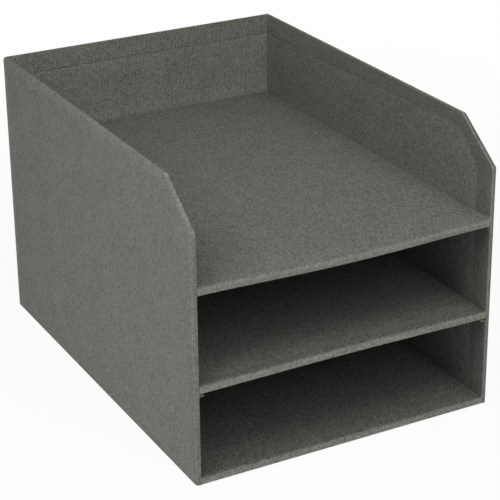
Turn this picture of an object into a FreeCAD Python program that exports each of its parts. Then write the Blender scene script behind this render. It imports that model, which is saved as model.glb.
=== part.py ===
"""Letter tray with three open tiers: boards covered with cloth and glued into one rigid case."""
import FreeCAD, Part
import os
from FreeCAD import Vector

# Overall size of the covered tray
tray_width = 240.0
tray_depth = 329.0
tray_height = 216.0

# Slanted cut of the side walls' front top corners
corner_run = 39.0
corner_drop = 28.8

# Boards and cloth
wall_board = 3.0
base_board = 4.1
shelf_board = 4.5
cloth = 0.4

# Board edges that are rounded: the walls' outer edges and the shelves' front top edges
wall_edge_radius = 2.2
nose_edge_radius = 1.8

# Roundness of the cloth where it goes round a square board edge
cloth_fold_radius = 0.9

# Clear heights of the two closed tiers, and how far each shelf's front has bent
lower_clear_height = 65.0
middle_clear_height = 66.9
middle_shelf_sag = -0.9
upper_shelf_sag = 2.3

# Seams of the wall linings, measured from the front and the top of the wall
lining_front_inset = 18.5
lining_slant_run = 40.5
lining_slant_drop = 34.0
lining_front_top_drop = 10.5
lining_back_top_drop = 16.5
seam_gap = 0.5

# Turned edges of the covers, and the tapes in the corners under the shelves
wrap_turn_under = 15.0
base_strip_reach = 16.5
middle_strip_reach = 9.0
strip_turn_under = 14.0
bottom_sheet_inset = 3.0
tape_leg = 4.0
tape_front_inset = 1.5

# Closer than this, two places count as the same
touching = 0.01

# A beam held at both ends bends as (1 - s*s)**2, a fourth-degree curve with only its middle pole moved
pole_place_shares = (0.0, 0.25, 0.5, 0.75, 1.0)
pole_drop_shares = (0.0, 0.0, 8.0 / 3.0, 0.0, 0.0)

# Planes that the pieces share
left, right = -tray_width / 2, tray_width / 2
front, back = -tray_depth / 2, tray_depth / 2
wall = cloth + wall_board + cloth
board_half_width = tray_width / 2 - cloth - wall_board
inner_half_width = tray_width / 2 - wall
board_front, board_back = front + cloth, back - cloth
back_board_face = board_back - wall_board
inner_back = back - wall
wrap_floor = cloth
board_floor = wrap_floor + cloth
base_top = board_floor + base_board
shelf = cloth + shelf_board + cloth
lower_floor = base_top + cloth
middle_shelf_bottom = lower_floor + lower_clear_height
upper_shelf_bottom = middle_shelf_bottom + shelf + middle_clear_height


def block(x0, x1, y0, y1, z0, z1):
    """Straight block between two corners."""
    return Part.makeBox(x1 - x0, y1 - y0, z1 - z0, Vector(x0, y0, z0))


def bent_edge(start, end, y, z, drop):
    """Edge across the tray, bent down in the middle by drop."""
    curve = Part.BezierCurve()
    curve.setPoles([
        Vector(start + (end - start) * place, y, z - drop * share)
        for place, share in zip(pole_place_shares, pole_drop_shares)
    ])
    return curve.toShape()


def bent_section(y, z0, z1, sag):
    """Outline of a shelf layer at one depth; the sag fades out towards the back wall."""
    drop = sag * (inner_back - y) / (inner_back - front)
    half = inner_half_width
    return Part.Wire([
        bent_edge(-half, half, y, z0, drop),
        Part.makeLine(Vector(half, y, z0), Vector(half, y, z1)),
        bent_edge(half, -half, y, z1, drop),
        Part.makeLine(Vector(-half, y, z1), Vector(-half, y, z0)),
    ])


def bent_layer(y0, y1, z0, z1, sag):
    """Layer of a shelf from wall to wall, bent at the front."""
    return Part.makeLoft([bent_section(y0, z0, z1, sag), bent_section(y1, z0, z1, sag)], True, True)


def side_panel(x0, x1, outline):
    """Panel in a side wall: an outline of (y, z) points, carried from x0 to x1."""
    points = [Vector(x0, y, z) for y, z in outline]
    face = Part.Face(Part.makePolygon(points + points[:1]))
    return face.extrude(Vector(x1 - x0, 0, 0))


def side_outline(margin, floor):
    """Side wall seen from the side, drawn in by margin, with the slanted corner kept parallel."""
    slant = (corner_run ** 2 + corner_drop ** 2) ** 0.5
    run = corner_run + margin * (slant - corner_run) / corner_drop
    drop = corner_drop + margin * (slant - corner_drop) / corner_run
    return [
        (front + margin, floor),
        (back - margin, floor),
        (back - margin, tray_height - margin),
        (front + run, tray_height - margin),
        (front + margin, tray_height - drop),
    ]


def outer_edges(shape, margin, floor):
    """Rim edges on the outside, drawn in by margin: those of the outer faces above the floor."""
    outer_half = tray_width / 2 - margin
    outer_back = back - margin
    chosen = []
    for edge in shape.Edges:
        box, middle = edge.BoundBox, edge.CenterOfMass
        on_side = box.XLength < touching and abs(middle.x) > outer_half - touching
        on_back = box.YLength < touching and middle.y > outer_back - touching
        at_top = box.ZLength < touching and middle.z > tray_height - margin - touching
        if middle.z > floor + touching and (on_side or on_back and at_top):
            chosen.append(edge)
    return chosen


def inner_edges(shape):
    """Rim edges of the covered walls on the inside: up the front, over the slant and round the top."""
    chosen = []
    for edge in shape.Edges:
        box, middle = edge.BoundBox, edge.CenterOfMass
        on_side = box.XLength < touching and abs(abs(middle.x) - inner_half_width) < touching
        on_back = box.YLength < touching and abs(middle.y - inner_back) < touching
        at_top = box.ZLength < touching and middle.z > tray_height - touching
        in_front = middle.y < front + corner_run and middle.z > wrap_floor + touching
        if on_side and (at_top or in_front) or on_back and at_top:
            chosen.append(edge)
    return chosen


def side_board(x0, x1):
    """Side board with round outer edges; x0 and x1 are its two faces."""
    board = side_panel(x0, x1, side_outline(cloth, board_floor))
    return board.makeFillet(wall_edge_radius, outer_edges(board, cloth, board_floor))


def back_board():
    """Back board between the side boards, with a round outer top edge."""
    half = board_half_width
    board = block(-half, half, back_board_face, board_back, board_floor, tray_height - cloth)
    top = [
        edge for edge in outer_edges(board, cloth, board_floor)
        if edge.BoundBox.XLength > wall
    ]
    return board.makeFillet(wall_edge_radius, top)


def soft_nose(shape, y, radius, upper):
    """Shape with its upper or lower front edge rounded; y is the plane of its front face."""
    nose = [
        edge for edge in shape.Edges
        if abs(edge.CenterOfMass.y - y) < touching and edge.BoundBox.XLength > tray_width / 2
    ]
    nose.sort(key=lambda edge: edge.CenterOfMass.z, reverse=upper)
    return shape.makeFillet(radius, nose[:1])


def base_panel():
    """Base board, glued between the side boards and against the back board."""
    half = board_half_width
    board = block(-half, half, board_front, back_board_face, board_floor, base_top)
    return soft_nose(board, board_front, nose_edge_radius, True)


def shelf_panel(bottom, sag):
    """Board of one shelf, between the lined walls."""
    low = bottom + cloth
    board = bent_layer(board_front, inner_back, low, low + shelf_board, sag)
    return soft_nose(board, board_front, nose_edge_radius, True)


def side_lining(x0, x1, gap):
    """Lining of a side wall, grown by gap at its seams."""
    outline = [
        (front + lining_front_inset - gap, base_top),
        (back_board_face, base_top),
        (back_board_face, tray_height - lining_back_top_drop + gap),
        (front + lining_slant_run - gap, tray_height - lining_front_top_drop + gap),
        (front + lining_front_inset - gap, tray_height - lining_slant_drop + gap),
    ]
    return side_panel(x0, x1, outline)


def left_lining(gap):
    """Lining of the left wall."""
    return side_lining(-board_half_width, -inner_half_width, gap)


def right_lining(gap):
    """Lining of the right wall."""
    return side_lining(inner_half_width, board_half_width, gap)


def back_lining(gap):
    """Lining of the back wall, between the linings of the side walls."""
    top = tray_height - lining_back_top_drop + gap
    return block(-inner_half_width, inner_half_width, inner_back, back_board_face, base_top, top)


def outer_wrap(boards):
    """One sheet round both sides and the back, turned in over free edges and turned under the base."""
    left_wall = side_panel(left, left + wall, side_outline(0, wrap_floor))
    right_wall = side_panel(right - wall, right, side_outline(0, wrap_floor))
    back_wall = block(left, right, inner_back, back, wrap_floor, tray_height)
    walls = left_wall.fuse([right_wall, back_wall]).removeSplitter()
    corner = wall_edge_radius + cloth
    walls = walls.makeFillet(corner, outer_edges(walls, 0, wrap_floor))
    walls = walls.makeFillet(cloth_fold_radius, inner_edges(walls))
    under = block(left, right, front, back, wrap_floor, board_floor)
    window_half = tray_width / 2 - wrap_turn_under
    window = block(
        -window_half, window_half, front - cloth, back - wrap_turn_under, wrap_floor, board_floor
    )
    upright = [
        edge for edge in under.Edges
        if edge.BoundBox.ZLength > cloth / 2 and edge.CenterOfMass.y > 0
    ]
    under = under.makeFillet(corner, upright).cut(window)
    hollow = boards + [left_lining(seam_gap), right_lining(seam_gap), back_lining(seam_gap)]
    return walls.fuse(under).cut(hollow).removeSplitter()


def front_cover(board, bottom, top_reach, sag):
    """Cover of a shelf's front edge: over the top as far as top_reach, and turned under."""
    full = bent_layer(front, inner_back, bottom, bottom + shelf, sag)
    full = soft_nose(full, front, nose_edge_radius + cloth, True)
    full = soft_nose(full, front, cloth_fold_radius, False)
    inside_board = bottom + shelf / 2 - sag / 2
    half = tray_width / 2
    below = block(-half, half, front + strip_turn_under, back, bottom - shelf, inside_board)
    bare = [board, below]
    if front + top_reach < inner_back:
        bare.append(block(-half, half, front + top_reach, back, inside_board, bottom + 2 * shelf))
    return full.cut(bare).removeSplitter()


def base_strip(board):
    """Cover of the base's front edge, turned under between the turned edges of the wrap."""
    half = inner_half_width
    under_half = tray_width / 2 - wrap_turn_under - seam_gap
    nose = block(-half, half, front, front + base_strip_reach, board_floor, lower_floor)
    nose = soft_nose(nose, front, nose_edge_radius + cloth, True).cut(board)
    under = block(-under_half, under_half, front, front + strip_turn_under, wrap_floor, board_floor)
    return nose.fuse(under).removeSplitter()


def floor_lining(reach, z0, sag):
    """Lining on a floor, from the seam behind its front strip to the lined back wall."""
    return bent_layer(front + reach + seam_gap, inner_back, z0, z0 + cloth, sag)


def ceiling_lining(bottom, sag):
    """Lining under a shelf, from the turned edge of its front cover to the lined back wall."""
    return bent_layer(front + strip_turn_under + seam_gap, inner_back, bottom, bottom + cloth, sag)


def corner_leg(x0, x1, height, bottom, sag):
    """One leg of a corner tape, hung from the shelf's bent underside between x0 and x1."""
    start = front + tape_front_inset
    layer = bent_layer(start, inner_back, bottom - height, bottom, sag)
    return layer.common(block(x0, x1, start, inner_back, bottom - tape_leg, bottom + shelf))


def corner_tape(side, bottom, sag):
    """Angled tape in the corner under a shelf's end; side is -1 at the left, 1 at the right."""
    wall_face = side * inner_half_width
    flat_leg = corner_leg(*sorted((wall_face, wall_face - side * tape_leg)), cloth, bottom, sag)
    wall_leg = corner_leg(*sorted((wall_face, wall_face - side * cloth)), tape_leg, bottom, sag)
    return flat_leg.fuse(wall_leg).removeSplitter()


def build():
    """All pieces by name."""
    pieces = {
        "left_side_board": side_board(left + cloth, -board_half_width),
        "right_side_board": side_board(board_half_width, right - cloth),
        "back_board": back_board(),
        "base_board": base_panel(),
    }
    pieces["outer_wrap"] = outer_wrap(list(pieces.values()))
    half, edge = tray_width / 2 - bottom_sheet_inset, tray_depth / 2 - bottom_sheet_inset
    pieces["bottom_sheet"] = block(-half, half, -edge, edge, 0, wrap_floor)
    pieces["left_wall_lining"] = left_lining(0)
    pieces["back_wall_lining"] = back_lining(0)
    pieces["right_wall_lining"] = right_lining(0)
    pieces["base_front_strip"] = base_strip(pieces["base_board"])
    pieces["lower_floor_lining"] = floor_lining(base_strip_reach, base_top, 0)
    middle_top = middle_shelf_bottom + cloth + shelf_board
    pieces["middle_shelf_board"] = shelf_panel(middle_shelf_bottom, middle_shelf_sag)
    pieces["middle_shelf_front_strip"] = front_cover(
        pieces["middle_shelf_board"], middle_shelf_bottom, middle_strip_reach, middle_shelf_sag
    )
    pieces["middle_floor_lining"] = floor_lining(middle_strip_reach, middle_top, middle_shelf_sag)
    pieces["lower_ceiling_lining"] = ceiling_lining(middle_shelf_bottom, middle_shelf_sag)
    pieces["upper_shelf_board"] = shelf_panel(upper_shelf_bottom, upper_shelf_sag)
    pieces["upper_shelf_cover"] = front_cover(
        pieces["upper_shelf_board"], upper_shelf_bottom, inner_back - front, upper_shelf_sag
    )
    pieces["middle_ceiling_lining"] = ceiling_lining(upper_shelf_bottom, upper_shelf_sag)
    for name, bottom, sag in (
        ("middle_shelf", middle_shelf_bottom, middle_shelf_sag),
        ("upper_shelf", upper_shelf_bottom, upper_shelf_sag),
    ):
        pieces[name + "_left_tape"] = corner_tape(-1, bottom, sag)
        pieces[name + "_right_tape"] = corner_tape(1, bottom, sag)
    return pieces


os.makedirs("parts", exist_ok=True)
for name, shape in build().items():
    if not shape.isValid() or len(shape.Solids) != 1:
        raise ValueError(name + " is not one sound solid")
    shape.exportStep("parts/" + name + ".step")
    print(name, len(shape.Faces), "faces", round(shape.Volume), "mm3")
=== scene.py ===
"""Looks of a covered letter tray: cloth sheets pasted over its boards, and a plain studio to see them in."""
import math

import bmesh
import bpy
import numpy as np
from bpy.props import FloatProperty, FloatVectorProperty, PointerProperty
from mathutils import Matrix, Vector


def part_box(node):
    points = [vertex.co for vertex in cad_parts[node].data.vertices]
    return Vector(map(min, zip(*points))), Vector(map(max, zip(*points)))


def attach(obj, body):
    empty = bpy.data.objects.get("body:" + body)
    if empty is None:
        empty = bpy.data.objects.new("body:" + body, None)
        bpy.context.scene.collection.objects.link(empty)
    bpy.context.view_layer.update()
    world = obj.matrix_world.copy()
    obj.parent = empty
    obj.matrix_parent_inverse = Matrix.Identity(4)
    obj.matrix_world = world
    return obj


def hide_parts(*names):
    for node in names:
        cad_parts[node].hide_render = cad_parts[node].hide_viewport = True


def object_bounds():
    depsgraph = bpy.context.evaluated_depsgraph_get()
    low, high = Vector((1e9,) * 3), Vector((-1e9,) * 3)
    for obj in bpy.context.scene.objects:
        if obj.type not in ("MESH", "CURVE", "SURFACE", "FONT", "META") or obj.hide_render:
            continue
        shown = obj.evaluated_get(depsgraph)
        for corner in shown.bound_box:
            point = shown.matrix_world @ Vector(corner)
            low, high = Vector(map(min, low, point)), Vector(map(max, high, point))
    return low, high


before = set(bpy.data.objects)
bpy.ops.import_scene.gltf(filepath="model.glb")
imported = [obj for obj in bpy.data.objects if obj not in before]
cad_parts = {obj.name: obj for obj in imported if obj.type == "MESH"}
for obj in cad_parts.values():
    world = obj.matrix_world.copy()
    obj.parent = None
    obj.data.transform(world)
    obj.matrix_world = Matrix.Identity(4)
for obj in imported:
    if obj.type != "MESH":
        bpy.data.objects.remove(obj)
cad_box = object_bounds()

bl_info = {
    "name": "Covered letter tray",
    "version": (1, 0, 0),
    "blender": (4, 5, 0),
    "location": "3D View > Sidebar > Letter tray",
    "description": "Glues cloth over the boards of a letter tray and sets it in a plain studio",
    "category": "Object",
}

MM = 0.001


def corners(node):
    """Lowest and highest corner of a board or sheet of the frame, as two rows."""
    return np.array(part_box(node))


# Faces and heights that the cloth shares with the frame
WRAP = corners("outer_wrap")
LEFT, FRONT, WRAP_FLOOR = WRAP[0]
RIGHT, BACK, TOP = WRAP[1]
SIDE_LINING = corners("right_wall_lining")
BACK_LINING = corners("back_wall_lining")
INNER_X, LINING_FRONT, BASE_TOP = SIDE_LINING[0]
CLOTH = SIDE_LINING[1, 0] - INNER_X
WALL = RIGHT - INNER_X
INNER_BACK = BACK_LINING[0, 1]
LOWER_FLOOR = corners("lower_floor_lining")[1, 2]
MIDDLE_BOTTOM = corners("middle_shelf_left_tape")[1, 2]
UPPER_BOTTOM = corners("upper_shelf_left_tape")[1, 2]
UPPER_COVER = corners("upper_shelf_cover")
SHELF = UPPER_COVER[1, 2] - UPPER_BOTTOM
UPPER_SAG = UPPER_BOTTOM - UPPER_COVER[0, 2]
MIDDLE_SAG = MIDDLE_BOTTOM + SHELF - corners("middle_shelf_front_strip")[1, 2]
TAPE = corners("middle_shelf_right_tape")
BOARDS = [name for name in sorted(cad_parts) if name.endswith("_board")]

# Points along each stretch of a rim line
FRONT_STEPS, SLANT_STEPS, TOP_STEPS, BACK_STEPS, ARC_STEPS, FOOT_STEPS = 34, 10, 44, 26, 6, 4

# Cut edges: the width that is pressed down, how deep, and how close to the cut the last row of points lies
PRESS_WIDTH = 0.3 * MM
SEAM_PRESS, SLANT_PRESS, FLOOR_PRESS = 0.12 * MM, 0.04 * MM, 0.03 * MM
CUT_BORDER = 0.06 * MM

# Distance between the rows of points on a sheet, and the distance below which two points are one
SHEET_STEP, WELD = 6 * MM, 0.005 * MM

# Wear and painted light of the cloth: above 0 lighter, 1 being well rubbed, and below 0 painted darker than
# plain.
# In order: the rim of the left and the right wall (rubbed edges with painted highlights, painted light on the
# inner folds, painted shade on the top of the right slant), the wrap's edge turned in (painted shade at the
# front and the sides, painted light at the back), its outer faces (painted light at the foot, painted shade at
# the top), what is under them and their back corners (wear), then linings and tapes (painted light and shade)
LEFT_ROUNDING, LEFT_FOLD, LEFT_SLANT = 0.6, 1.7, 0.75
RIGHT_FRONT, RIGHT_SLANT, RIGHT_FOLD = 1.0, -0.3, 1.3
TURNED_FRONT, TURNED_SIDE, TURNED_BACK = -0.55, -0.25, 0.27
FACE_FOOT, FACE_TOP = 0.45, -0.3
UNDER_WEAR, BACK_CORNER_WEAR = 0.5, 0.7
LINING_PAINTED_FRONT_LIGHT, SIDE_CORNER_PAINTED_LIGHT, LINING_CORNER_PAINTED_LIGHT, TAPE_END_PAINTED_LIGHT = 0.65, 0.45, 1.1, 1.6

# Weave: slubs in crossings and their shares, warp first, noise in features per metre, and stray in threads
SLUB_LENGTHS, SLUB_SHARES = (2.4, 2.2), (0.6, 0.4)
SLUB_SHIFT = 0.618
STRAY_SCALE, CLOUD_SCALE, FUZZ_SCALE = 60.0, 40.0, 1400.0
STRAY_REACH = 0.7


class TraySizes(bpy.types.PropertyGroup):
    """Sizes of the cloth work that the frame's boxes don't give."""

    corner_run: FloatProperty(
        name="Corner run", description="How far back the slanted front corner of a wall starts",
        default=39.0 * MM, unit="LENGTH")
    corner_drop: FloatProperty(
        name="Corner drop", description="How far down the slanted front corner of a wall ends",
        default=28.8 * MM, unit="LENGTH")
    lining_run: FloatProperty(
        name="Lining run", description="How far back the slanted seam of a wall lining starts",
        default=40.5 * MM, unit="LENGTH")
    lining_drop: FloatProperty(
        name="Lining drop", description="How far down the slanted seam of a wall lining ends",
        default=34.0 * MM, unit="LENGTH")
    rim_radius: FloatProperty(
        name="Rim radius", description="Roundness of the walls' outer edges and corners",
        default=2.6 * MM, unit="LENGTH")
    slant_radius: FloatProperty(
        name="Slant radius", description="Roundness of the left wall's outer edge at its slant",
        default=0.9 * MM, unit="LENGTH")
    nose_radius: FloatProperty(
        name="Nose radius", description="Roundness of the shelves' front top edges",
        default=2.2 * MM, unit="LENGTH")
    fold_radius: FloatProperty(
        name="Fold radius", description="Roundness of the cloth round a square board edge",
        default=0.9 * MM, unit="LENGTH")
    foot_radius: FloatProperty(
        name="Foot radius", description="Roundness of the bottom edge",
        default=0.4 * MM, unit="LENGTH")
    seam_gap: FloatProperty(
        name="Seam gap", description="Gap between the wrap's turned edge and a wall lining",
        default=0.25 * MM, unit="LENGTH")
    floor_gap: FloatProperty(
        name="Floor gap", description="Gap between a front strip and the floor lining behind it",
        default=0.03 * MM, unit="LENGTH")
    wall_gap: FloatProperty(
        name="Wall gap", description="Gap between the middle shelf's covers and the right wall",
        default=0.4 * MM, unit="LENGTH")
    waver: FloatProperty(
        name="Waver", description="How far a hand-cut edge strays from its line",
        default=0.14 * MM, unit="LENGTH")
    turn_under: FloatProperty(
        name="Turn under", description="Width of the wrap's edge under the base",
        default=15.0 * MM, unit="LENGTH")
    tape_droop: FloatProperty(
        name="Tape droop", description="How far the loose front end of a corner tape hangs down",
        default=2.6 * MM, unit="LENGTH")
    end_climb: FloatProperty(
        name="End climb", description="How far the upper shelf's cover climbs the walls at its front corners",
        default=1.5 * MM, unit="LENGTH")


class ClothLook(bpy.types.PropertyGroup):
    """Colours and grain of the cloth and the boards."""

    cover_color: FloatVectorProperty(
        name="Cover cloth", description="Colour of the wrap and the strips", subtype="COLOR",
        size=3, min=0, max=1, default=(0.132, 0.135, 0.117))
    lining_color: FloatVectorProperty(
        name="Lining cloth", description="Colour of the linings", subtype="COLOR",
        size=3, min=0, max=1, default=(0.132, 0.135, 0.117))
    # Darker than real grey board: painted shade for the slits between the cloth pieces, where the board shows
    board_color_painted_dark: FloatVectorProperty(
        name="Board", description="Colour of the boards under the cloth", subtype="COLOR",
        size=3, min=0, max=1, default=(0.075, 0.072, 0.066))
    warp: FloatProperty(
        name="Warp", description="Distance between the threads that run up the sheet",
        default=0.64 * MM, unit="LENGTH")
    weft: FloatProperty(
        name="Weft", description="Distance between the threads that run across the sheet",
        default=0.72 * MM, unit="LENGTH")
    relief: FloatProperty(
        name="Relief", description="Height of the weave", default=0.16 * MM, unit="LENGTH")
    check: FloatProperty(
        name="Check", description="Lightness change from thread to thread", default=0.18, subtype="FACTOR")
    fleck: FloatProperty(
        name="Fleck", description="Lightness change from crossing to crossing",
        default=0.64, subtype="FACTOR")
    slub: FloatProperty(
        name="Slub", description="Lightness change along a thread", default=0.56, subtype="FACTOR")
    mottle: FloatProperty(
        name="Mottle", description="Lightness change over the whole sheet", default=0.30, subtype="FACTOR")
    # Strength of the per-point mark: it lightens rubbed edges, painted highlights and painted light, and
    # darkens painted shade
    wear: FloatProperty(
        name="Wear", description="How much lighter rubbed cloth is, and how much darker unrubbed cloth",
        default=0.35, subtype="FACTOR")
    roughness: FloatProperty(
        name="Roughness", description="Roughness of the cloth", default=0.92, subtype="FACTOR")


class StudioLook(bpy.types.PropertyGroup):
    """Floor, lamps and camera."""

    floor_color: FloatVectorProperty(
        name="Floor", description="Colour of the floor", subtype="COLOR",
        size=3, min=0, max=1, default=(0.85, 0.85, 0.85))
    sky: FloatProperty(name="Sky", description="Strength of the even light from all round", default=0.10)
    key_place: FloatVectorProperty(
        name="Key place", description="Where the main lamp is", subtype="TRANSLATION",
        default=(-0.429, -0.248, 0.595))
    key_size: FloatProperty(
        name="Key size", description="Side of the main lamp", default=0.35, unit="LENGTH")
    key_power: FloatProperty(
        name="Key power", description="Power of the main lamp in watts", default=2.33)
    side_place: FloatVectorProperty(
        name="Side place", description="Where the low lamp at the left is", subtype="TRANSLATION",
        default=(-1.596, 0.0, 0.212))
    side_size: FloatProperty(
        name="Side size", description="Side of the low lamp at the left", default=1.0, unit="LENGTH")
    side_power: FloatProperty(
        name="Side power", description="Power of the low lamp at the left in watts", default=12.0)
    top_place: FloatVectorProperty(
        name="Top place", description="Where the lamp above is", subtype="TRANSLATION",
        default=(0.164, -0.285, 0.718))
    top_size: FloatProperty(
        name="Top size", description="Side of the lamp above", default=0.35, unit="LENGTH")
    top_power: FloatProperty(
        name="Top power", description="Power of the lamp above in watts", default=1.05)
    front_place: FloatVectorProperty(
        name="Front place", description="Where the lamp in front is", subtype="TRANSLATION",
        default=(0.0, -1.131, 1.231))
    front_size: FloatProperty(
        name="Front size", description="Side of the lamp in front", default=1.0, unit="LENGTH")
    front_power: FloatProperty(
        name="Front power", description="Power of the lamp in front in watts", default=7.5)
    low_place: FloatVectorProperty(
        name="Low place", description="Where the low lamp in front is", subtype="TRANSLATION",
        default=(0.0, -1.477, 0.361))
    low_size: FloatProperty(
        name="Low size", description="Side of the low lamp in front", default=0.5, unit="LENGTH")
    low_power: FloatProperty(
        name="Low power", description="Power of the low lamp in front in watts", default=2.6)
    camera_place: FloatVectorProperty(
        name="Camera place", description="Where the camera stands", subtype="TRANSLATION",
        default=(-0.567743, -1.077716, 0.630391))
    azimuth: FloatProperty(
        name="Azimuth", description="Turn of the camera round the tray",
        default=math.radians(-27.550), unit="ROTATION")
    elevation: FloatProperty(
        name="Elevation", description="Tilt of the camera above the horizon",
        default=math.radians(22.742), unit="ROTATION")
    roll: FloatProperty(
        name="Roll", description="Turn of the camera about its own view",
        default=math.radians(-0.862), unit="ROTATION")
    lens: FloatProperty(
        name="Lens", description="Focal length on a 36 mm sensor", default=124.94, unit="CAMERA")
    shift: FloatVectorProperty(
        name="Shift", description="Shift of the lens, as a share of the picture",
        size=2, default=(0.04, -0.08))


def wavering(place, seed):
    """Smooth stray of a hand-cut edge, about -1 to 1: three sines of 90, 37 and 14 mm with seeded phases."""
    phases = np.random.default_rng(seed).uniform(0, 2 * math.pi, 3)
    lengths = np.array([90.0, 37.0, 14.0]) * MM
    shares = np.array([0.55, 0.30, 0.15])
    return (shares * np.sin(2 * math.pi * np.asarray(place)[..., None] / lengths + phases)).sum(-1)


def rounded_line(points, radii, counts, arc_count=6):
    """A line through flat points with its inner corners rounded. Between corners it is straight; at a corner
    with outer normals a and b, p = corner - r (a + b) / (1 + a.b) + r * (a turned towards b)."""
    points = np.asarray(points, float)
    heading = np.diff(points, axis=0)
    heading /= np.linalg.norm(heading, axis=1)[:, None]
    share = np.linspace(0, 1, arc_count + 1)[:, None]
    stops = [points[:1]]
    for corner, before, after, radius in zip(points[1:], heading, heading[1:], radii):
        side = np.sign(before[0] * after[1] - before[1] * after[0])
        first = side * np.array([before[1], -before[0]])
        last = side * np.array([after[1], -after[0]])
        turn = math.acos(first @ last)
        fan = (np.sin((1 - share) * turn) * first + np.sin(share * turn) * last) / math.sin(turn)
        stops.append(corner - radius * (first + last) / (1 + first @ last) + radius * fan)
    stops.append(points[-1:])
    line = [stops[0]]
    for here, there, count in zip(stops, stops[1:], counts):
        line += [np.linspace(here[-1], there[0], count + 1)[1:], there[1:]]
    return np.concatenate(line)


def lengths_along(points):
    """Distance along a line from its first point to each of its points."""
    steps = np.linalg.norm(np.diff(points, axis=0), axis=-1)
    return np.concatenate([[0.0], np.cumsum(steps)])


def bordered(start, end, step, border=0.3 * MM):
    """Even places from start to end about a step apart, with one more near each end for a soft cut edge."""
    count = max(2, round(abs(end - start) / step))
    places = np.linspace(start, end, count + 1)
    inside = border * np.sign(end - start)
    return np.concatenate([places[:1], [start + inside], places[1:-1], [end - inside], places[-1:]])


def sag(x, y, depth):
    """Drop of a shelf: depth * (1 - s*s)**2 across, s from -1 to 1, fading evenly from front to back."""
    across = (1 - np.clip(x / INNER_X, -1, 1) ** 2) ** 2
    return depth * across * (INNER_BACK - y) / (INNER_BACK - FRONT)


def grid(points, places, wear=0.0):
    """A patch of cloth: points on rows and columns, their places on the flat cloth, and their mark of wear and
    painted light.
    """
    return points, places, np.broadcast_to(np.asarray(wear, float), points.shape[:2])


def grid_quads(shape, start=0):
    """Faces between the rows and columns of a grid, as numbers of their four corners, counted from start."""
    index = np.arange(shape[0] * shape[1]).reshape(shape) + start
    return np.stack([index[:-1, :-1], index[1:, :-1], index[1:, 1:], index[:-1, 1:]], -1).reshape(-1, 4)


def sheet_mesh(name, patches):
    """One mesh of all patches, welded where they meet, with the flat places as its UV map."""
    starts = np.cumsum([0] + [wear.size for _, _, wear in patches])
    quads = np.concatenate([grid_quads(wear.shape, start) for (_, _, wear), start in zip(patches, starts)])
    points, places, wear = (
        np.concatenate([part.reshape(-1, *part.shape[2:]) for part in parts]) for parts in zip(*patches))
    mesh = bpy.data.meshes.new(name)
    mesh.from_pydata(points.tolist(), [], quads.tolist())
    mesh.uv_layers.new(name="cloth").data.foreach_set("uv", places[quads.ravel()].ravel())
    mesh.attributes.new("wear", "FLOAT", "POINT").data.foreach_set("value", wear)
    welded = bmesh.new()
    welded.from_mesh(mesh)
    bmesh.ops.remove_doubles(welded, verts=welded.verts, dist=WELD)
    welded.to_mesh(mesh)
    welded.free()
    mesh.polygons.foreach_set("use_smooth", np.ones(len(mesh.polygons), bool))
    return mesh


def add_sheet(name, patches, material, grain=1.0, tone=1.0):
    """Puts a cloth piece in place of its node: welded, as thick as the cloth, pasted to the boards behind it.
    Grain is how strongly its weave shows. The last number makes the whole piece lighter or darker beside the
    other pieces: painted light and shade for how the lamps fall on it."""
    mesh = sheet_mesh(name + "_cloth", patches)
    for key, value in (("grain", grain), ("tone", tone)):
        values = np.full(len(mesh.vertices), value)
        mesh.attributes.new(key, "FLOAT", "POINT").data.foreach_set("value", values)
    mesh.materials.append(material)
    piece = bpy.data.objects.new(name + "_cloth", mesh)
    bpy.context.scene.collection.objects.link(piece)
    solid = piece.modifiers.new("Thickness", "SOLIDIFY")
    solid.thickness = CLOTH
    solid.offset = -1
    solid.use_even_offset = False
    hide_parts(name)
    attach(piece, "root")
    return piece


def nodes_of(material):
    """Node tree of a material with a function that adds a node, sets its inputs and returns it."""
    material.use_nodes = True
    tree = material.node_tree
    tree.nodes.clear()

    def add(kind, inputs=(), **settings):
        node = tree.nodes.new(kind)
        for key, value in settings.items():
            setattr(node, key, value)
        for key, value in dict(inputs).items():
            if isinstance(value, bpy.types.NodeSocket):
                tree.links.new(value, node.inputs[key])
            else:
                node.inputs[key].default_value = value
        return node

    return add


def math_node(add, operation, first, second=0.0, third=0.0):
    """Output of one sum, product or other step of arithmetic."""
    return add("ShaderNodeMath", {0: first, 1: second, 2: third}, operation=operation).outputs[0]


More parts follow.
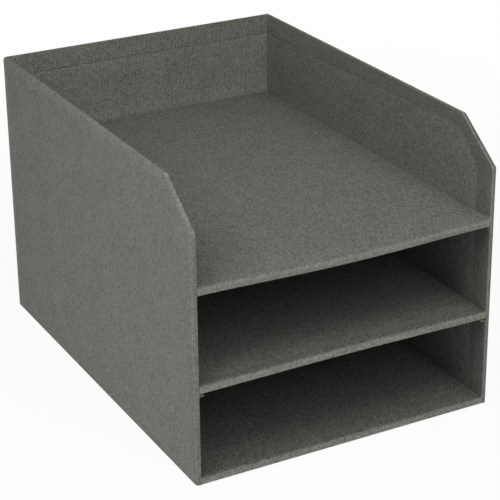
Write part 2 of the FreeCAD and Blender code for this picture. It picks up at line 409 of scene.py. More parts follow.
def cloth_material(name, color, look, offset):
    """Plain weave on the flat places of the sheet. With thread counts a = u / warp and b = v / weft, both
    pushed by a little noise, the relief is sin(pi a) * sin(pi b), above 0 where the warp lies on top, with
    slubs and flecks added. Lightness is (1 + grain * weave + mottle) * (1 + mark) * level, the mark being real
    wear on rubbed edges together with painted highlights, painted light and painted shade, and the level the
    piece's painted light and shade. The weave adds ribs from thread to thread, slubs along each thread and
    flecks at the crossings, and fades where the mark is high."""
    material = bpy.data.materials.new(name)
    add = nodes_of(material)

    def vector(operation, first, second):
        key = "Scale" if operation == "SCALE" else 1
        return add("ShaderNodeVectorMath", {0: first, key: second}, operation=operation).outputs[0]

    def noise(place, scale, detail):
        inputs = {"Vector": place, "Scale": scale, "Detail": detail, "Roughness": 0.6}
        return math_node(add, "SUBTRACT", add("ShaderNodeTexNoise", inputs).outputs[0], 0.5)

    flat = add("ShaderNodeUVMap", uv_map="cloth").outputs[0]
    place = vector("ADD", flat, offset)
    stray = add("ShaderNodeTexNoise", {
        "Vector": place, "Scale": STRAY_SCALE, "Detail": 5.0, "Roughness": 0.62})
    pushed = vector("SCALE", vector("SUBTRACT", stray.outputs["Color"], (0.5, 0.5, 0.5)), STRAY_REACH)
    threads = vector("ADD", vector("MULTIPLY", place, (1 / look.warp, 1 / look.weft, 0.0)), pushed)
    split = add("ShaderNodeSeparateXYZ", {0: threads})
    warp = math_node(add, "SINE", math_node(add, "MULTIPLY", split.outputs[0], math.pi))
    weft = math_node(add, "SINE", math_node(add, "MULTIPLY", split.outputs[1], math.pi))
    crossing = math_node(add, "MULTIPLY", warp, weft)

    def streaks(across, along, length):
        thread = math_node(add, "FLOOR", across)
        piece = math_node(add, "MULTIPLY_ADD", thread, SLUB_SHIFT, math_node(add, "DIVIDE", along, length))
        spot = add("ShaderNodeCombineXYZ", {0: thread, 1: math_node(add, "FLOOR", piece)}).outputs[0]
        made = add("ShaderNodeTexWhiteNoise", {"Vector": spot}, noise_dimensions="2D").outputs["Value"]
        return math_node(add, "SUBTRACT", made, 0.5)

    warp_slubs = streaks(split.outputs[0], split.outputs[1], SLUB_LENGTHS[0])
    weft_slubs = streaks(split.outputs[1], split.outputs[0], SLUB_LENGTHS[1])
    slubs = math_node(add, "MULTIPLY", warp_slubs, SLUB_SHARES[0])
    slubs = math_node(add, "MULTIPLY_ADD", weft_slubs, SLUB_SHARES[1], slubs)
    cell = vector("FLOOR", threads, (0.0, 0.0, 0.0))
    fleck = add("ShaderNodeTexWhiteNoise", {"Vector": cell}, noise_dimensions="2D").outputs["Value"]
    fleck = math_node(add, "SUBTRACT", fleck, 0.5)
    grain = add("ShaderNodeAttribute", attribute_name="grain").outputs["Fac"]
    # Per-piece painted light and shade: the whole piece lighter or darker for how the lamps fall on it
    tone = add("ShaderNodeAttribute", attribute_name="tone").outputs["Fac"]
    cloud = noise(place, CLOUD_SCALE, 2.0)
    # Per-point mark of real wear on rubbed edges and of painted highlights, painted light and painted shade
    rubbed = add("ShaderNodeAttribute", attribute_name="wear").outputs["Fac"]
    worn_and_lit = math_node(add, "MULTIPLY", rubbed, math_node(add, "ADD", noise(place, FUZZ_SCALE, 1.0), 1.0))
    weave = math_node(add, "MULTIPLY", slubs, look.slub)
    weave = math_node(add, "MULTIPLY_ADD", fleck, look.fleck, weave)
    ribs = math_node(add, "MULTIPLY_ADD", weft, 0.4, warp)
    weave = math_node(add, "MULTIPLY_ADD", ribs, look.check, weave)
    plain = add("ShaderNodeMapRange", {0: rubbed, 1: 0.6, 2: 2.0, 3: 1.0, 4: 0.6}).outputs[0]
    weave = math_node(add, "MULTIPLY", weave, plain)
    light = math_node(add, "MULTIPLY_ADD", weave, grain, 1.0)
    light = math_node(add, "MULTIPLY_ADD", cloud, look.mottle, light)
    light = math_node(add, "MULTIPLY", light, math_node(add, "MULTIPLY_ADD", worn_and_lit, look.wear, 1.0))
    light = math_node(add, "MULTIPLY", math_node(add, "MAXIMUM", light, 0.1), tone)
    tint = vector("SCALE", tuple(color), light)
    height = math_node(add, "MULTIPLY_ADD", slubs, 1.5, crossing)
    height = math_node(add, "MULTIPLY_ADD", fleck, 0.8, height)
    bump = add("ShaderNodeBump", {"Height": height, "Strength": 1.0, "Distance": look.relief}).outputs[0]
    shader = add("ShaderNodeBsdfPrincipled", {
        "Base Color": tint, "Roughness": look.roughness, "Normal": bump, "Specular IOR Level": 0.25,
        "Sheen Weight": 0.06, "Sheen Roughness": 0.5,
    })
    add("ShaderNodeOutputMaterial", {"Surface": shader.outputs[0]})
    return material


def board_material(color):
    """Board under the cloth, solid and darker than grey board, so that where it shows in the slits between the
    cloth it reads as painted shade: pressed fibres as stretched noise, with darker flecks.
    """
    material = bpy.data.materials.new("grey_board")
    add = nodes_of(material)
    place = add("ShaderNodeTexCoord").outputs["Object"]
    stretched = add("ShaderNodeVectorMath", {0: place, 1: (900.0, 260.0, 900.0)}, operation="MULTIPLY")
    fibre = add("ShaderNodeTexNoise", {"Vector": stretched.outputs[0], "Scale": 1.0, "Detail": 5.0})
    fleck = add("ShaderNodeTexNoise", {"Vector": place, "Scale": 700.0, "Detail": 2.0})
    light = math_node(add, "MULTIPLY_ADD", fibre.outputs[0], 0.5, 0.6)
    light = math_node(add, "MULTIPLY_ADD", fleck.outputs[0], 0.3, light)
    tint = add("ShaderNodeVectorMath", {0: tuple(color), "Scale": light}, operation="SCALE").outputs[0]
    bump = add("ShaderNodeBump", {"Height": fibre.outputs[0], "Strength": 0.5, "Distance": 0.1 * MM})
    shader = add("ShaderNodeBsdfPrincipled", {
        "Base Color": tint, "Roughness": 0.95, "Normal": bump.outputs[0]})
    add("ShaderNodeOutputMaterial", {"Surface": shader.outputs[0]})
    return material


def shared_cloth(slot):
    """The cloth of a material slot, made once; each slot starts its weave at another place."""
    look = bpy.context.scene.cloth_look
    made = bpy.data.materials.get(slot + "_weave")
    if made:
        return made
    color = look.cover_color if slot in ("cover_cloth", "corner_tape") else look.lining_color
    offsets = {"cover_cloth": 0.0, "lining_cloth": 0.37, "bottom_cloth": 0.71, "corner_tape": 0.53}
    return cloth_material(slot + "_weave", color, look, (offsets[slot], 2 * offsets[slot], offsets[slot]))


def slant_corners(sizes, depth):
    """Both ends of a wall's slanted corner when its outline is drawn in by depth, as (y, z)."""
    length = math.hypot(sizes.corner_run, sizes.corner_drop)
    lower = (FRONT + depth, TOP - sizes.corner_drop - depth * (length - sizes.corner_drop) / sizes.corner_run)
    upper = (FRONT + sizes.corner_run + depth * (length - sizes.corner_run) / sizes.corner_drop, TOP - depth)
    return lower, upper


def foot_curve(radius):
    """Quarter round of the bottom edge, from below: how far it is drawn in, and its height."""
    angle = np.linspace(math.pi / 2, 0, FOOT_STEPS + 1)[:-1]
    return radius * (1 - np.cos(angle)), WRAP_FLOOR + radius * (1 - np.sin(angle))


def round_the_back(side, across, bend, height):
    """Carries the left half of a line round the back corner, an arc of radius bend, to the back's middle."""
    angle = np.linspace(math.pi, math.pi / 2, ARC_STEPS + 1)[1:]
    start_x, end_y = LEFT + across + bend, BACK - across - bend
    level = np.full_like(angle, height)
    arc = np.stack([start_x + bend * np.cos(angle), end_y + bend * np.sin(angle), level], -1)
    back_x = np.linspace(start_x, 0, BACK_STEPS + 1)[1:]
    back = np.stack([back_x, np.full_like(back_x, BACK - across), np.full_like(back_x, height)], -1)
    return np.concatenate([side, arc, back])


def both_halves(half):
    """A left half that ends in the middle, and its mirror image after it."""
    return np.concatenate([half, (half * [-1, 1, 1])[-2::-1]])


def rim_row(sizes, depth, across, radius):
    """Line round the tray at one point of the rim's profile: up the front edge, over the slant, along the top
    and round the back; depth is its distance in from the edge and across its distance in from the outer face.
    The slant's ends are rounded by radius at the edge."""
    bend = max(sizes.rim_radius - across, 0)
    soft = max(radius - depth, 0)
    foot = WRAP_FLOOR + sizes.foot_radius
    lower, upper = slant_corners(sizes, depth)
    outline = [(FRONT + depth, foot), lower, upper, (BACK - across - bend, TOP - depth)]
    flat = rounded_line(outline, (soft, soft), (FRONT_STEPS, SLANT_STEPS, TOP_STEPS), ARC_STEPS)
    side = np.column_stack([np.full(len(flat), LEFT + across), flat])
    drawn, low = foot_curve(sizes.foot_radius)
    end = np.stack([LEFT + across + drawn * (1 - 2 * across / WALL), FRONT + depth + drawn, low], -1)
    return both_halves(round_the_back(np.concatenate([end, side]), across, bend, TOP - depth))


def seam_row(sizes, gap):
    """Line of the wrap's cut edge on the inner faces, gap beyond the linings' seam, closer at the front."""
    back_top = BACK_LINING[1, 2] + gap
    close = 0.2 * gap
    outline = [
        (LINING_FRONT - close, BASE_TOP),
        (LINING_FRONT - close, TOP - sizes.lining_drop + close),
        (FRONT + sizes.lining_run - gap, SIDE_LINING[1, 2] + gap),
        (INNER_BACK, back_top),
    ]
    flat = rounded_line(outline, (0, 0), (FRONT_STEPS, SLANT_STEPS, TOP_STEPS), ARC_STEPS)
    stray = sizes.waver * wavering(lengths_along(flat), seed=3)
    flat = flat + np.stack([stray * (flat[:, 1] < back_top - gap), stray], -1)
    side = np.column_stack([np.full(len(flat), -INNER_X), flat])
    end = np.repeat(side[:1], FOOT_STEPS, axis=0)
    return both_halves(round_the_back(np.concatenate([end, side]), WALL, 0, back_top))


def unfolded(outer_row, beyond, spread=12 * MM):
    """Places of a rim line on the flat sheet: its point on the outer faces, moved beyond the edge, square to
    it. The edge's direction is its mean over a spread to both sides, so threads turn gently at a corner."""
    run = lengths_along(outer_row[:, :2])
    edge = np.stack([run - run[len(run) // 2], outer_row[:, 2]], -1)
    along = lengths_along(edge)
    step = np.diff(edge, axis=0)
    swept = np.concatenate([[0.0], np.cumsum(np.arctan2(step[:, 1], step[:, 0]) * np.diff(along))])
    low, high = np.maximum(along - spread, 0), np.minimum(along + spread, along[-1])
    turn = (np.interp(high, along, swept) - np.interp(low, along, swept)) / (high - low)
    return edge + beyond * np.stack([-np.sin(turn), np.cos(turn)], -1)


def rim_profile(sizes, radius):
    """Half section of a covered edge: from the outer face over a flat top with two round edges to the inner
    face, as (depth, across)."""
    outline = [(2 * sizes.rim_radius, 0), (0, 0), (0, WALL), (sizes.fold_radius, WALL)]
    # Just under the fold's radius, so that the last straight stretch has a length
    inner_radius = sizes.fold_radius * 0.999
    return rounded_line(outline, (radius, inner_radius), (3, 2, 1), ARC_STEPS)


def rim_rows(sizes, radius):
    """The profile with an outer edge of this radius, carried along the free edges of the walls."""
    return np.stack([rim_row(sizes, depth, across, radius) for depth, across in rim_profile(sizes, radius)])


def rim_wear_and_painted_light(sizes, mirrored, right):
    """Wear and painted light of the rim: on the left wall the front edge, rubbed with a painted highlight on
    its outer rounding and painted light most at its inner fold, and the top of the slant, rubbed with a
    painted highlight; on the right wall the top of the front edge, rubbed with a painted highlight, painted
    shade on the top of the slant, and the inner fold of both, rubbed with a painted highlight. The back and
    the level tops stay plain. Mirrored counts the columns from the nearer end, and right is true in the second
    half."""
    profile = rim_profile(sizes, sizes.rim_radius)
    first, second = FOOT_STEPS + FRONT_STEPS, FOOT_STEPS + FRONT_STEPS + ARC_STEPS + SLANT_STEPS
    ridge = np.exp(-((profile[:, 1] - 0.3 * sizes.rim_radius) / (0.4 * sizes.rim_radius)) ** 2)
    ridge = LEFT_ROUNDING * ridge + np.interp(profile[:, 1], [0.5 * sizes.rim_radius, WALL], [0.0, LEFT_FOLD])
    ridge = (ridge * (profile[:, 0] < sizes.rim_radius))[:, None]
    inner = (profile[:, 1] > WALL - 0.7 * sizes.fold_radius)[:, None]
    top = (profile[:, 0] < 0.3 * sizes.fold_radius)[:, None]
    front, slant = mirrored <= first, (mirrored > first) & (mirrored <= second)
    over = (profile[:, 0] < sizes.slant_radius)[:, None]
    stretches = [right & front, right & slant, front, slant]
    edge = np.select(stretches, [RIGHT_FRONT * top, RIGHT_SLANT * top, ridge, LEFT_SLANT * over], 0.0)
    return np.where(inner & right & (front | slant), RIGHT_FOLD, edge)


def rim_patch(sizes):
    """Rim of the wrap: the profile carried along the free edges, crisper over the left slant, then the turned
    edge down to the seam."""
    soft, crisp = rim_rows(sizes, sizes.rim_radius), rim_rows(sizes, sizes.slant_radius)
    seam = seam_row(sizes, sizes.seam_gap)
    column = np.arange(len(seam))
    mirrored = np.minimum(column, column[::-1])
    first, last = FOOT_STEPS + FRONT_STEPS, FOOT_STEPS + FRONT_STEPS + 2 * ARC_STEPS + SLANT_STEPS
    slanted = np.interp(column, [first - 1, first, last, last + 1], [0, 1, 1, 0])[:, None]
    rim = soft + slanted * (crisp - soft)
    shares = np.array([0.04, 0.25, 0.5, 0.75, 0.97, 1.0])
    points = np.concatenate([rim, rim[-1] + (seam - rim[-1]) * shares[:, None, None]])
    lengths = lengths_along(rim_profile(sizes, sizes.rim_radius))
    turned = np.linalg.norm(seam - rim[-1], axis=1).mean()
    lengths = np.concatenate([lengths, lengths[-1] + turned * shares])
    places = np.stack([unfolded(points[0], beyond) for beyond in lengths])
    side_end = last + TOP_STEPS
    # The turned edge on the inner faces: painted shade at the front and along the sides, painted light at the
    # back
    inside = np.interp(mirrored, [last, side_end, side_end + 1], [TURNED_FRONT, TURNED_SIDE, TURNED_BACK])
    worn_and_lit = rim_wear_and_painted_light(sizes, mirrored, column > len(column) // 2)
    worn_and_lit = np.concatenate([worn_and_lit, np.broadcast_to(inside, (len(shares), len(inside)))])
    return grid(points, places, worn_and_lit)


def face_patch(sizes, outer_row):
    """Outer faces of the wrap: columns from the foot up to the rim, round both sides and the back, with the
    round foot and the edge turned under the base. The faces are painted lighter at the foot and darker at the
    top, evenly between: painted light and painted shade. The edge under the base and the back corners carry
    wear."""
    first = FOOT_STEPS + FRONT_STEPS
    head = outer_row[first:-first]
    foot = WRAP_FLOOR + sizes.foot_radius
    share = np.linspace(0, 1, FRONT_STEPS + 1)[:, None]
    heights = foot + share * (head[:, 2] - foot)
    faces = np.stack(np.broadcast_arrays(head[:, 0], head[:, 1], heights), -1)
    drawn, low = foot_curve(sizes.foot_radius)
    under = np.linspace(sizes.foot_radius, sizes.turn_under, 6)[:0:-1]
    insets = np.concatenate([under, drawn])
    levels = np.concatenate([np.full(len(under), WRAP_FLOOR), low])
    middle = len(head) // 2
    side_count = middle - BACK_STEPS - ARC_STEPS + 1
    side_y = head[:side_count, 1]
    span = (side_y - side_y[0]) / (side_y[-1] - side_y[0])
    rows = []
    for inset, level in zip(insets, levels):
        bend = max(sizes.rim_radius - inset, 0)
        start = side_y[0] + min(inset, sizes.foot_radius)
        y = start + span * (BACK - inset - bend - start)
        side = np.stack([np.full_like(y, LEFT + inset), y, np.full_like(y, level)], -1)
        rows.append(both_halves(round_the_back(side, inset, bend, level)))
    points = np.concatenate([np.stack(rows), faces])
    run = lengths_along(head[:, :2])
    run = run - run[len(run) // 2]
    rise = lengths_along(np.stack([insets, levels], -1))
    rise = rise - rise[-1] + low[-1]
    up = np.concatenate([np.broadcast_to(rise[:, None], (len(rise), len(run))), heights])
    places = np.stack(np.broadcast_arrays(run, up), -1)
    turn = np.zeros(len(head))
    turn[side_count - 1:side_count + ARC_STEPS] = 1
    turn = np.maximum(turn, turn[::-1])
    # Painted light at the foot, fading evenly into painted shade at the top
    upright = np.interp(points[..., 2], [foot, TOP], [FACE_FOOT, FACE_TOP])
    worn_and_lit = np.where(points[..., 2] < foot, UNDER_WEAR, BACK_CORNER_WEAR * turn + upright)
    return grid(points, places, worn_and_lit)


class TRAY_OT_outer_wrap(bpy.types.Operator):
    """Wrap both sides and the back in one sheet, turned in over every free edge"""

    bl_idname = "tray.outer_wrap"
    bl_label = "Outer wrap"

    def execute(self, context):
        sizes = context.scene.tray_sizes
        rim = rim_patch(sizes)
        faces = face_patch(sizes, rim[0][0])
        cloth = shared_cloth("cover_cloth")
        add_sheet("outer_wrap", [faces, rim], cloth, grain=1.1)
        return {"FINISHED"}


def painted_corner_light(*distances):
    """Painted light along lines where two faces meet in a corner, subtracted where painted shade is wanted:
    exp(-d / 9 mm) from each, none behind.
    """
    fade, behind = 9 * MM, -1 * MM
    return sum(np.where(d > behind, np.exp(-np.maximum(d, 0) / fade), 0.0) for d in distances)


def side_lining_patch(sizes, side):
    """Lining of a side wall: columns from front to back, each from the base up to the slanted or the level
    seam; side is -1 at the left, 1 at the right. It is painted lighter towards the front and low down, and
    along the line of the upper floor and at the back corner: painted light."""
    seam_y = [LINING_FRONT, FRONT + sizes.lining_run, INNER_BACK]
    seam_z = [TOP - sizes.lining_drop, SIDE_LINING[1, 2], BACK_LINING[1, 2]]
    y = np.unique(np.concatenate([bordered(seam_y[0], seam_y[2], SHEET_STEP), seam_y]))
    top = np.interp(y, seam_y, seam_z) + sizes.waver * wavering(y, seed=11 + side)
    share = bordered(0, 1, 0.03, border=0.0015)[:, None]
    z = BASE_TOP + share * (top - BASE_TOP)
    stray = sizes.waver * wavering(z, seed=5 + side) * (1 - np.clip((y - y[0]) / (2 * MM), 0, 1))
    edge = np.minimum(y - y[0], top - z)
    pressed = np.where(y > seam_y[1], SEAM_PRESS, SLANT_PRESS) * np.clip(1 - edge / PRESS_WIDTH, 0, 1)
    x = side * (INNER_X + pressed)
    points = np.stack([x, y + stray, z], -1)
    places = np.stack(np.broadcast_arrays(y, z), -1)
    height = np.clip((z - UPPER_COVER[1, 2]) / (SIDE_LINING[1, 2] - UPPER_COVER[1, 2]), 0, 1)
    # Painted light: lighter towards the front and low down, and along the upper floor and at the back corner
    painted_front_light = LINING_PAINTED_FRONT_LIGHT * (INNER_BACK - y) / (INNER_BACK - LINING_FRONT) * (1 - 0.85 * height)
    painted_front_light = painted_front_light + SIDE_CORNER_PAINTED_LIGHT * painted_corner_light(z - UPPER_COVER[1, 2], INNER_BACK - y)
    if side < 0:
        points, places, painted_front_light = points[:, ::-1], places[:, ::-1], painted_front_light[:, ::-1]
    return grid(points, places, painted_front_light)


def back_lining_patch(sizes):
    """Lining of the back wall, level columns from right to left."""
    x = bordered(INNER_X, -INNER_X, SHEET_STEP)
    top = BACK_LINING[1, 2] + sizes.waver * wavering(x, seed=21)
    share = bordered(0, 1, 0.03, border=0.0015)[:, None]
    z = BASE_TOP + share * (top - BASE_TOP)
    pressed = SEAM_PRESS * np.clip(1 - (top - z) / PRESS_WIDTH, 0, 1)
    points = np.stack(np.broadcast_arrays(x, INNER_BACK + pressed, z), -1)
    # Painted light along the upper floor and at the right corner, where shade falls
    worn_and_lit = LINING_CORNER_PAINTED_LIGHT * painted_corner_light(z - UPPER_COVER[1, 2], INNER_X - x)
    return grid(points, np.stack(np.broadcast_arrays(-x, z), -1), worn_and_lit)


class TRAY_OT_wall_linings(bpy.types.Operator):
    """Line the inner faces of the walls"""

    bl_idname = "tray.wall_linings"
    bl_label = "Wall linings"

    def execute(self, context):
        sizes = context.scene.tray_sizes
        cloth = shared_cloth("lining_cloth")
        # The last number of each lining is painted light and shade: the side linings darker, the back lining
        # lighter
        linings = (
            ("left_wall_lining", side_lining_patch(sizes, -1), "left_side_board", 1.25, 0.91),
            ("right_wall_lining", side_lining_patch(sizes, 1), "right_side_board", 1.25, 0.91),
            ("back_wall_lining", back_lining_patch(sizes), "back_board", 1.1, 1.13),
        )
        for name, patch, board, grain, tone in linings:
            add_sheet(name, [patch], cloth, grain, tone)
        return {"FINISHED"}


def level_patch(across, along, height, depth, seed, upward=True):
    """Sheet on a floor, or under a shelf where upward is false: an even grid, bent as the shelf is, pressed
    in a little at its front edge."""
    y = bordered(*along, SHEET_STEP, CUT_BORDER)
    x, y = np.meshgrid(bordered(*across, 5 * MM), y, indexing="ij")
    pressed = FLOOR_PRESS * np.clip(1 - (y - along[0]) / PRESS_WIDTH, 0, 1) * (1 + wavering(x, seed))
    z = height - sag(x, y, depth) - (pressed if upward else -pressed)
    points = np.stack([x, y, z], -1)
    places = np.stack([x, y], -1)
    if not upward:
        points, places = points[::-1], places[::-1]
    return grid(points, places)


class TRAY_OT_shelf_linings(bpy.types.Operator):
    """Line the floors of the closed tiers and the undersides of the shelves"""

    bl_idname = "tray.shelf_linings"
    bl_label = "Floor and ceiling linings"

    def execute(self, context):
        sizes = context.scene.tray_sizes
        cloth = shared_cloth("lining_cloth")
        gap = sizes.wall_gap
        # The last number of each lining is painted shade: floors lit at a graze and ceilings are darker than
        # plain
        linings = (
            ("lower_floor_lining", LOWER_FLOOR, 0.0, 0.0, True, "base_board", 0.88),
            ("middle_floor_lining", MIDDLE_BOTTOM + SHELF, MIDDLE_SAG, gap, True, "middle_shelf_board", 0.95),
            ("lower_ceiling_lining", MIDDLE_BOTTOM, MIDDLE_SAG, 0.0, False, "middle_shelf_board", 0.9),
            ("middle_ceiling_lining", UPPER_BOTTOM, UPPER_SAG, 0.0, False, "upper_shelf_board", 0.9),
        )
        for seed, (name, height, depth, short, upward, board, tone) in enumerate(linings):
            (_, front, _), (_, back, _) = corners(name)
            patch = level_patch((-INNER_X, INNER_X - short), (front, back), height, depth, 31 + seed, upward)
            add_sheet(name, [patch], cloth, grain=1.7, tone=tone)
        return {"FINISHED"}


def front_cover_patch(sizes, gap, low, reach, under, depth, climb, rub):
    """Cover of a board's front edge: a profile from the turned-under edge round the nose to the top edge,
    carried across the tray and bent as the shelf is. Behind the nose it stays clear of the right wall by gap.
    Near the front its ends climb the walls by climb * (1 - d / 2.5 mm)**2, d being the distance to the wall.
    The pair holds the nose's rubbing with a painted highlight, and the painted light on the floor behind it:
    lighter at the front and by the right wall, painted shade towards the back and by the back wall."""
    bottom, top = low
    outline = [(FRONT + under, bottom), (FRONT, bottom), (FRONT, top), (reach, top)]
    count = max(3, round((reach - FRONT) / SHEET_STEP))
    profile = rounded_line(outline, (sizes.fold_radius, sizes.nose_radius), (4, 2, count), ARC_STEPS)
    profile = np.insert(profile, -1, profile[-1] - [CUT_BORDER, 0], axis=0)
    upper = profile[:, 1] > (bottom + top) / 2
    behind = np.clip((profile[:, 0] - FRONT) / (4 * MM), 0, 1) * upper
    close = np.arange(1, 7) * 0.002
    share = np.unique(np.concatenate([bordered(0, 1, 0.02, border=0.0013), close, 1 - close]))
    ends = INNER_X - gap * behind[:, None]
    x = ends - share * (ends + INNER_X)
    y = np.broadcast_to(profile[:, :1], x.shape)
    lift = np.clip(1 - (INNER_X - np.abs(x)) / (2.5 * MM), 0, 1) ** 2
    lift = lift * np.clip(1 - (y - FRONT) / (30 * MM), 0, 1)
    raised = climb * lift * upper[:, None]
    points = np.stack([x, y, profile[:, 1:] - sag(x, y, depth) + raised], -1)
    places = np.stack(np.broadcast_arrays(-x, lengths_along(profile)[:, None]), -1)
    # Nose: rubbed, with a painted highlight. Floor: painted light at the front and by the right wall, painted
    # shade towards the back and by the back wall
    nose = np.clip(1 - (profile[:, 0] - FRONT) / sizes.nose_radius, 0, 1)
    painted_front_light = 1 - np.clip((profile[:, 0] - FRONT) / (INNER_BACK - FRONT), 0, 1) ** 3
    worn_and_lit = (rub[0] * nose + rub[1] * painted_front_light)[:, None]
    worn_and_lit = worn_and_lit + 0.5 * rub[1] * (painted_corner_light(INNER_X - x) - painted_corner_light(INNER_BACK - y))
    return grid(points, places, worn_and_lit)


class TRAY_OT_front_covers(bpy.types.Operator):
    """Cover the front edges of the base and the shelves"""

    bl_idname = "tray.front_covers"
    bl_label = "Front strips and upper shelf cover"

    def execute(self, context):
        sizes = context.scene.tray_sizes
        cloth = shared_cloth("cover_cloth")
        under = corners("middle_shelf_front_strip")[1, 1] - FRONT
        middle_reach = corners("middle_floor_lining")[0, 1] - sizes.floor_gap
        base_reach = corners("lower_floor_lining")[0, 1] - sizes.floor_gap
        base = (WRAP_FLOOR, LOWER_FLOOR)
        middle = (MIDDLE_BOTTOM, MIDDLE_BOTTOM + SHELF)
        upper = (UPPER_BOTTOM, UPPER_BOTTOM + SHELF)
        # Each pair is the nose's rubbing with a painted highlight and the floor's painted light; the last
        # number is painted shade on the whole piece
        covers = (
            ("base_front_strip", "base_board", base, base_reach, 0.0,
             0.0, 0.0, (2.8, 0.0), 1.8, 0.80),
            ("middle_shelf_front_strip", "middle_shelf_board", middle, middle_reach, MIDDLE_SAG,
             sizes.wall_gap, 0.0, (3.1, 0.0), 1.8, 0.80),
            ("upper_shelf_cover", "upper_shelf_board", upper, INNER_BACK, UPPER_SAG,
             0.0, sizes.end_climb, (1.7, 0.6), 1.4, 0.85),
        )
        for name, board, low, reach, depth, gap, climb, rub, grain, tone in covers:
            patch = front_cover_patch(sizes, gap, low, reach, under, depth, climb, rub)
            add_sheet(name, [patch], cloth, grain, tone)
        return {"FINISHED"}


def tape_patch(sizes, side, bottom, depth, droop):
    """Corner tape under a shelf's end: an angle carried from front to back, whose loose front end hangs down
    by droop * (1 - d / 5 mm)**3, d being the distance from that end."""
    leg = TAPE[1, 2] - TAPE[0, 2]
    wall = INNER_X - CLOTH
    outline = [(INNER_X - leg, bottom - CLOTH), (wall, bottom - CLOTH), (wall, bottom - leg)]
    profile = rounded_line(outline, (0.5 * MM,), (4, 3), 4)
    y = bordered(TAPE[0, 1], TAPE[1, 1], 8 * MM)
    y = np.unique(np.concatenate([y, TAPE[0, 1] + np.arange(1, 15) * 0.4 * MM]))
    loose = np.clip(1 - (y - TAPE[0, 1]) / (5 * MM), 0, 1) ** 3
    flat_leg = profile[:, 1] > bottom - 2.5 * CLOTH
    x = np.broadcast_to(side * profile[:, :1], (len(profile), len(y)))
    z = profile[:, 1:] - sag(x, y, depth) - droop * flat_leg[:, None] * loose
    points = np.stack(np.broadcast_arrays(x, y, z), -1)
    places = np.stack(np.broadcast_arrays(y, lengths_along(profile)[:, None]), -1)
    if side > 0:
        points, places = points[::-1], places[::-1]
    # The loose front end is painted lighter: painted light where the tape catches the lamps below the nose
    return grid(points, places, TAPE_END_PAINTED_LIGHT * loose)


class TRAY_OT_corner_tapes(bpy.types.Operator):
    """Tape the corners under the shelves' ends"""

    bl_idname = "tray.corner_tapes"
    bl_label = "Corner tapes"

    def execute(self, context):
        sizes = context.scene.tray_sizes
        cloth = shared_cloth("corner_tape")
        shelves = (
            ("middle", MIDDLE_BOTTOM, MIDDLE_SAG, sizes.tape_droop),
            ("upper", UPPER_BOTTOM, UPPER_SAG, 0.0),
        )
        for shelf, bottom, depth, droop in shelves:
            for name, side in (("left", -1), ("right", 1)):
                patch = tape_patch(sizes, side, bottom, depth, droop)
                add_sheet(f"{shelf}_shelf_{name}_tape", [patch], cloth)
        return {"FINISHED"}


class TRAY_OT_bottom_sheet(bpy.types.Operator):
    """Cover the underside"""

    bl_idname = "tray.bottom_sheet"
    bl_label = "Bottom sheet"

    def execute(self, context):
        low, high = corners("bottom_sheet")
        patch = level_patch((low[0], high[0]), (low[1], high[1]), low[2], 0.0, 51, upward=False)
        add_sheet("bottom_sheet", [patch], shared_cloth("bottom_cloth"))
        return {"FINISHED"}


class TRAY_OT_boards(bpy.types.Operator):
    """Give the boards under the cloth their finish"""

    bl_idname = "tray.boards"
    bl_label = "Boards"

    def execute(self, context):
        material = board_material(context.scene.cloth_look.board_color_painted_dark)
        for name in BOARDS:
            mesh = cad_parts[name].data
            mesh.materials.clear()
            mesh.materials.append(material)
        return {"FINISHED"}


def seen_directly(add):
    """1 for rays from the camera, or seen in gloss or through glass; 0 for the light that falls on things."""
    path = add("ShaderNodeLightPath")
    seen = math_node(add, "MAXIMUM", path.outputs["Is Camera Ray"], path.outputs["Is Glossy Ray"])
    return math_node(add, "MAXIMUM", seen, path.outputs["Is Transmission Ray"])


def add_floor(color):
    """Pale level floor just under the tray. Seen directly it is white from 0.9 m away, and mostly white near
    the tray, so that it keeps a faint shadow."""
    reach, clear = 4.0, 0.05 * MM
    u, v = np.meshgrid(np.linspace(-reach, reach, 9), np.linspace(-reach, reach, 9), indexing="ij")
    points = np.stack([u, v, np.full_like(u, -clear)], -1)
    mesh = bpy.data.meshes.new("floor")
    mesh.from_pydata(points.reshape(-1, 3).tolist(), [], grid_quads(u.shape).tolist())
    floor = bpy.data.objects.new("floor", mesh)
    bpy.context.scene.collection.objects.link(floor)
    material = bpy.data.materials.new("pale_floor")
    add = nodes_of(material)
    matt = add("ShaderNodeBsdfDiffuse", {"Color": (*color, 1)})
    white = add("ShaderNodeEmission", {"Color": (1, 1, 1, 1), "Strength": 1.0})
    away = add("ShaderNodeVectorMath", {0: add("ShaderNodeTexCoord").outputs["Object"]}, operation="LENGTH")
    plain = add("ShaderNodeMapRange", {0: away.outputs["Value"], 1: 0.2, 2: 0.9, 3: 0.93, 4: 1.0}).outputs[0]
    share = math_node(add, "MULTIPLY", seen_directly(add), plain)
    mixed = add("ShaderNodeMixShader", {0: share, 1: matt.outputs[0], 2: white.outputs[0]})
    add("ShaderNodeOutputMaterial", {"Surface": mixed.outputs[0]})
    mesh.materials.append(material)


def add_sky(strength):
    """Even light from all round, seen directly as white."""
    world = bpy.data.worlds.new("studio")
    bpy.context.scene.world = world
    add = nodes_of(world)
    light = add("ShaderNodeBackground", {"Color": (1, 1, 1, 1), "Strength": strength})
    white = add("ShaderNodeBackground", {"Color": (1, 1, 1, 1), "Strength": 1.0})
    mixed = add("ShaderNodeMixShader", {0: seen_directly(add), 1: light.outputs[0], 2: white.outputs[0]})
    add("ShaderNodeOutputWorld", {"Surface": mixed.outputs[0]})


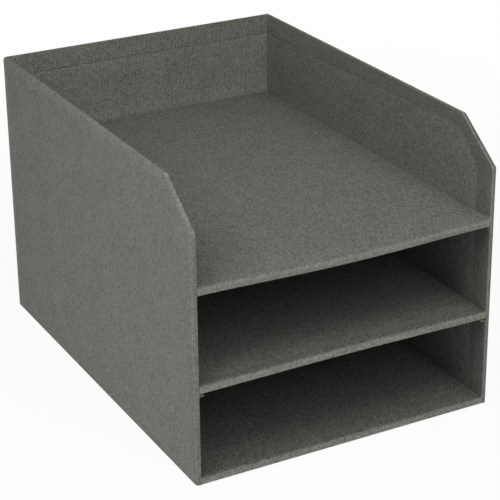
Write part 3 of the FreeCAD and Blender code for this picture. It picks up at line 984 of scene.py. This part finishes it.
def add_lamp(name, place, size, power):
    """Large soft lamp aimed at the middle of the tray."""
    data = bpy.data.lights.new(name, "AREA")
    data.size = size
    data.energy = power
    lamp = bpy.data.objects.new(name, data)
    bpy.context.scene.collection.objects.link(lamp)
    lamp.location = place
    lamp.visible_camera = False
    aim = Vector(cad_box[0] + cad_box[1]) / 2 - lamp.location
    lamp.rotation_euler = aim.to_track_quat("-Z", "Y").to_euler()


def add_camera(studio):
    """Camera at an azimuth and elevation round the tray, turned by roll about its own view."""
    a, e, r = studio.azimuth, studio.elevation, studio.roll
    back = np.array([math.sin(a) * math.cos(e), -math.cos(a) * math.cos(e), math.sin(e)])
    level = np.array([math.cos(a), math.sin(a), 0])
    rise = np.cross(back, level)
    across = level * math.cos(r) + rise * math.sin(r)
    above = rise * math.cos(r) - level * math.sin(r)
    data = bpy.data.cameras.new("camera")
    data.sensor_width = 36.0
    data.lens = studio.lens
    data.shift_x, data.shift_y = studio.shift
    camera = bpy.data.objects.new("camera", data)
    bpy.context.scene.collection.objects.link(camera)
    turned = np.column_stack([across, above, back])
    camera.matrix_world = Matrix.LocRotScale(studio.camera_place, Matrix(turned.tolist()), None)
    bpy.context.scene.camera = camera


class TRAY_OT_studio(bpy.types.Operator):
    """Set up the floor, the light and the camera"""

    bl_idname = "tray.studio"
    bl_label = "Studio"

    def execute(self, context):
        studio = context.scene.studio_look
        add_floor(studio.floor_color)
        add_sky(studio.sky)
        for name in ("key", "side", "top", "front", "low"):
            place, size, power = (getattr(studio, f"{name}_{value}") for value in ("place", "size", "power"))
            add_lamp(name, place, size, power)
        add_camera(studio)
        context.scene.view_settings.view_transform = "Standard"
        return {"FINISHED"}


PIECES = (
    TRAY_OT_boards, TRAY_OT_outer_wrap, TRAY_OT_wall_linings, TRAY_OT_shelf_linings, TRAY_OT_front_covers,
    TRAY_OT_corner_tapes, TRAY_OT_bottom_sheet, TRAY_OT_studio,
)


class TRAY_PT_panel(bpy.types.Panel):
    """Lists the sizes and looks of the tray, and what makes its pieces"""

    bl_idname = "TRAY_PT_panel"
    bl_label = "Letter tray"
    bl_space_type = "VIEW_3D"
    bl_region_type = "UI"
    bl_category = "Letter tray"

    def draw(self, context):
        for group in (context.scene.tray_sizes, context.scene.cloth_look, context.scene.studio_look):
            box = self.layout.box()
            for name in group.__annotations__:
                box.prop(group, name)
        for piece in PIECES:
            self.layout.operator(piece.bl_idname)


GROUPS = {"tray_sizes": TraySizes, "cloth_look": ClothLook, "studio_look": StudioLook}


def register():
    """Makes the properties, operators and panel known."""
    for made in (*GROUPS.values(), *PIECES, TRAY_PT_panel):
        bpy.utils.register_class(made)
    for name, group in GROUPS.items():
        setattr(bpy.types.Scene, name, PointerProperty(type=group))


def unregister():
    """Takes them away again."""
    for name in GROUPS:
        delattr(bpy.types.Scene, name)
    for made in (TRAY_PT_panel, *reversed(PIECES), *reversed(GROUPS.values())):
        bpy.utils.unregister_class(made)


def main():
    """Makes every piece and the studio."""
    register()
    bpy.ops.tray.boards()
    bpy.ops.tray.outer_wrap()
    bpy.ops.tray.wall_linings()
    bpy.ops.tray.shelf_linings()
    bpy.ops.tray.front_covers()
    bpy.ops.tray.corner_tapes()
    bpy.ops.tray.bottom_sheet()
    bpy.ops.tray.studio()


if __name__ == "__main__":
    main()
